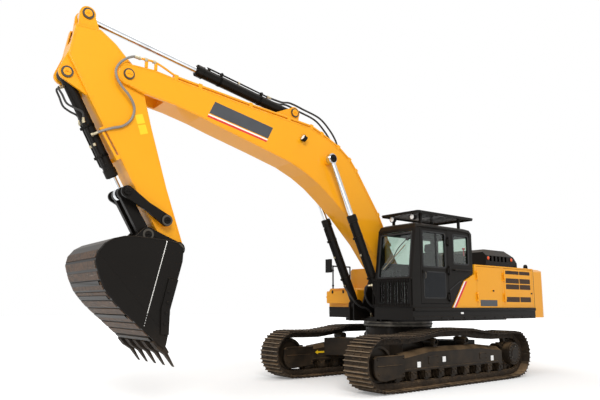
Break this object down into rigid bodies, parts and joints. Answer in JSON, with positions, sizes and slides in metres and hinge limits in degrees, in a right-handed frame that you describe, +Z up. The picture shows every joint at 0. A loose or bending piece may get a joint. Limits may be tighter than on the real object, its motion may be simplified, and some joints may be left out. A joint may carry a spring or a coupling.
{
  "type": "crawler excavator",
  "caption": "Crawler excavator with a cab, counterweight and engine house that slew on a track undercarriage, and a boom, arm and bucket moved by hydraulic cylinders.",
  "frame": {"origin": "on the ground under the slewing axis", "axes": "+X forward towards the bucket, +Y left towards the cab, +Z up"},
  "size_m": [10.9306, 3.19, 6.0285],
  "materials": {
    "black_enamel": "satin black enamel",
    "yellow_enamel": "gloss yellow enamel",
    "worn_steel": "worn rolled steel",
    "bare_steel": "turned steel",
    "engine_casting": "cast and painted",
    "safety_glass": "clear",
    "chromed_rod": "polished",
    "seat_cloth": "woven",
    "moulded_plastic": "grained"
  },
  "bodies": {
    "undercarriage": {"carbody": "black_enamel", "slew_ring": "bare_steel", "side_frames": "black_enamel", "track_left": "worn_steel", "track_right": "worn_steel", "idlers": "black_enamel", "sprockets": "black_enamel", "final_drives": "black_enamel", "track_rollers": "black_enamel", "carrier_rollers": "black_enamel"},
    "upperstructure": {"main_frame": "black_enamel", "side_beams": "black_enamel", "counterweight": "yellow_enamel", "lifting_eyes": "black_enamel", "house": "yellow_enamel", "engine": "engine_casting", "toolbox": "yellow_enamel", "tanks": "yellow_enamel", "cab": "black_enamel", "cab_glass": "safety_glass", "seat": "seat_cloth", "console": "moulded_plastic", "roof_guard": "black_enamel", "front_guard": "black_enamel", "cab_lamps": "black_enamel", "handrails": "black_enamel", "mirrors": "black_enamel"},
    "left_front_door": {"left_front_door": "yellow_enamel"},
    "left_rear_door": {"left_rear_door": "yellow_enamel"},
    "right_rear_door": {"right_rear_door": "yellow_enamel"},
    "hood": {"hood": "black_enamel"},
    "cab_door": {"cab_door": "black_enamel", "door_glass": "safety_glass"},
    "boom": {"boom": "yellow_enamel", "boom_pins": "bare_steel", "boom_pipes": "yellow_enamel", "boom_lamp": "black_enamel"},
    "arm": {"arm": "yellow_enamel", "arm_pins": "bare_steel", "arm_pipes": "yellow_enamel"},
    "bucket": {"bucket": "black_enamel", "bucket_teeth": "worn_steel", "bucket_pins": "bare_steel"},
    "guide_links": {"guide_links": "black_enamel"},
    "bucket_link": {"bucket_link": "black_enamel"},
    "lift_barrels": {"lift_barrels": "black_enamel"},
    "lift_rods": {"lift_rods": "chromed_rod"},
    "crowd_barrel_tube": {"crowd_barrel_tube": "black_enamel"},
    "crowd_rod_eye": {"crowd_rod_eye": "chromed_rod"},
    "curl_barrel_tube": {"curl_barrel_tube": "black_enamel"},
    "curl_rod_eye": {"curl_rod_eye": "chromed_rod"}
  },
  "joints": [
    {"name": "slew", "type": "hinge", "parent": "undercarriage", "child": "upperstructure", "pos_m": [0, 0, 1.18], "axis": [0, 0, 1], "continuous": true},
    {"name": "boom_lift", "type": "hinge", "parent": "upperstructure", "child": "boom", "pos_m": [0.33, 0, 2.19], "axis": [0, -1, 0], "range_deg": [-70, 35]},
    {"name": "arm_crowd", "type": "hinge", "parent": "boom", "child": "arm", "pos_m": [6.30054, 0, 5.06342], "axis": [0, 1, 0], "range_deg": [-105, 4]},
    {"name": "bucket_curl", "type": "hinge", "parent": "arm", "child": "bucket", "pos_m": [5.32909, 0, 2.37984], "axis": [0, 1, 0], "range_deg": [-3, 160]},
    {"name": "guide_swing", "type": "hinge", "parent": "arm", "child": "guide_links", "pos_m": [5.57726, 0, 2.80687], "axis": [0, 1, 0], "range_deg": [-2.38, 116.51]},
    {"name": "link_swing", "type": "hinge", "parent": "bucket", "child": "bucket_link", "pos_m": [5.84859, 0, 2.57006], "axis": [0, 1, 0], "range_deg": [-103.95, 2.15]},
    {"name": "curl_tilt", "type": "hinge", "parent": "arm", "child": "curl_barrel_tube", "pos_m": [7.19059, 0, 4.89863], "axis": [0, 1, 0], "range_deg": [-0.95, 0.21]},
    {"name": "curl_stroke", "type": "slide", "parent": "curl_barrel_tube", "child": "curl_rod_eye", "axis": [-0.4907, 0, -0.8713], "range_m": [-0.02615, 1.28984]},
    {"name": "lift_tilt", "type": "hinge", "parent": "upperstructure", "child": "lift_barrels", "pos_m": [0.87, 0, 1.5], "axis": [0, -1, 0], "range_deg": [-67.44, 33.82]},
    {"name": "lift_stroke", "type": "slide", "parent": "lift_barrels", "child": "lift_rods", "axis": [0.4321, 0, 0.9018], "range_m": [-0.88827, 0.44513]},
    {"name": "crowd_tilt", "type": "hinge", "parent": "boom", "child": "crowd_barrel_tube", "pos_m": [2.96048, 0, 5.18945], "axis": [0, 1, 0], "range_deg": [-0.33, 3.55]},
    {"name": "crowd_stroke", "type": "slide", "parent": "crowd_barrel_tube", "child": "crowd_rod_eye", "axis": [0.9842, 0, 0.1773], "range_m": [-1.68603, 0.06615]},
    {"name": "cab_door_swing", "type": "hinge", "parent": "upperstructure", "child": "cab_door", "pos_m": [0.122, 1.515, 2], "axis": [0, 0, 1], "range_deg": [0, 165]},
    {"name": "hood_lift", "type": "hinge", "parent": "upperstructure", "child": "hood", "pos_m": [-1.862, 0, 2.382], "axis": [0, 1, 0], "range_deg": [0, 60]},
    {"name": "left_front_door_swing", "type": "hinge", "parent": "upperstructure", "child": "left_front_door", "pos_m": [-0.772, 1.525, 1.9], "axis": [0, 0, 1], "range_deg": [-100, 0]},
    {"name": "left_rear_door_swing", "type": "hinge", "parent": "upperstructure", "child": "left_rear_door", "pos_m": [-1.75, 1.525, 1.9], "axis": [0, 0, 1], "range_deg": [-100, 0]},
    {"name": "right_rear_door_swing", "type": "hinge", "parent": "upperstructure", "child": "right_rear_door", "pos_m": [-1.48, -1.525, 1.9], "axis": [0, 0, 1], "range_deg": [0, 100]}
  ],
  "couplings": [
    {"joint": "guide_swing", "follows": "bucket_curl", "ratio": 0.72619},
    {"joint": "link_swing", "follows": "bucket_curl", "ratio": -0.64781},
    {"joint": "curl_tilt", "follows": "bucket_curl", "ratio": -0.004679},
    {"joint": "curl_stroke", "follows": "bucket_curl", "m_per_rad": 0.46071},
    {"joint": "lift_tilt", "follows": "boom_lift", "ratio": 0.9596},
    {"joint": "lift_stroke", "follows": "boom_lift", "m_per_rad": 0.72469},
    {"joint": "crowd_tilt", "follows": "arm_crowd", "ratio": -0.031897},
    {"joint": "crowd_stroke", "follows": "arm_crowd", "m_per_rad": 0.91801}
  ]
}
